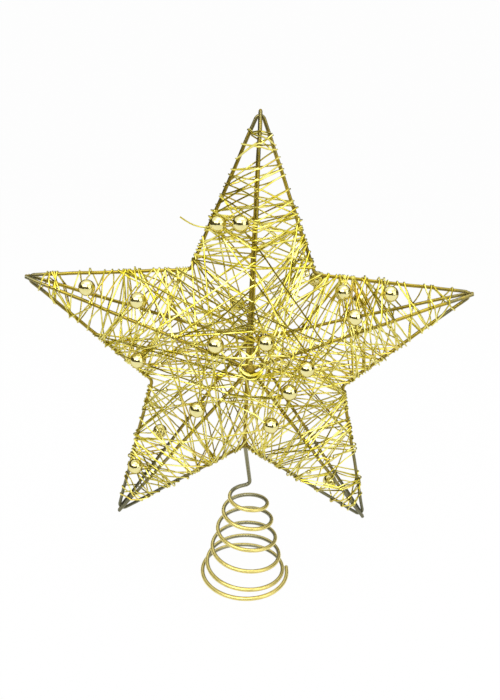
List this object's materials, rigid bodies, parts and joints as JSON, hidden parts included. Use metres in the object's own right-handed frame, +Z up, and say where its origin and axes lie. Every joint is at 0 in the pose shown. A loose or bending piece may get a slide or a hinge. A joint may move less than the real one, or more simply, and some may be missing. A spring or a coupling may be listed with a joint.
{
  "type": "christmas tree topper star",
  "caption": "Gold wire star tree topper: a bent wire star frame wound with fine beaded wire, on a stem and a conical spring that slips over the top of the tree.",
  "frame": {"origin": "centre of the spring's base turn, on the surface that it stands on", "axes": "+Z up along the spring's axis to the star's top arm, +X to the right of the star seen from its front, front of the star towards -Y"},
  "size_m": [0.2532, 0.0662, 0.2844],
  "materials": {
    "frame_wire": "satin olive-gold lacquer on bent steel wire",
    "spring_wire": "satin pale gold lacquer on coiled steel wire",
    "winding_wire": "bright gold, slightly crimped fine wire",
    "bead_gold": "gloss metallised gold",
    "weld": "dull brown-gold lacquer over a rough weld"
  },
  "bodies": {
    "coil": {"spring": "spring_wire"},
    "star": {"back_apex_weld": "weld", "back_ridge_left": "frame_wire", "back_ridge_lower_left": "frame_wire", "back_ridge_lower_right": "frame_wire", "back_ridge_right": "frame_wire", "back_ridge_top": "frame_wire", "bead_01": "bead_gold", "bead_02": "bead_gold", "bead_03": "bead_gold", "bead_04": "bead_gold", "bead_05": "bead_gold", "bead_06": "bead_gold", "bead_07": "bead_gold", "bead_08": "bead_gold", "bead_09": "bead_gold", "bead_10": "bead_gold", "bead_11": "bead_gold", "bead_12": "bead_gold", "bead_13": "bead_gold", "bead_14": "bead_gold", "bead_15": "bead_gold", "bead_16": "bead_gold", "bead_17": "bead_gold", "bead_18": "bead_gold", "bead_19": "bead_gold", "bead_20": "bead_gold", "bead_21": "bead_gold", "centre_winding_1": "winding_wire", "centre_winding_2": "winding_wire", "centre_winding_3": "winding_wire", "centre_winding_4": "winding_wire", "centre_winding_5": "winding_wire", "front_apex_weld": "weld", "front_ridge_left": "frame_wire", "front_ridge_lower_left": "frame_wire", "front_ridge_lower_right": "frame_wire", "front_ridge_right": "frame_wire", "front_ridge_top": "frame_wire", "left_arm_winding": "winding_wire", "lower_left_arm_winding": "winding_wire", "lower_right_arm_winding": "winding_wire", "right_arm_winding": "winding_wire", "small_beads": "bead_gold", "star_outline": "frame_wire", "stem": "spring_wire", "stem_weld": "weld", "tip_welds": "weld", "top_arm_winding": "winding_wire"}
  },
  "joints": [
    {"name": "spring_compress", "type": "slide", "parent": "coil", "child": "star", "axis": [0, 0, 1], "range_m": [-0.035, 0], "stiffness_N_per_m": 630, "springref_m": 0.002, "deforming": ["spring"]}
  ]
}
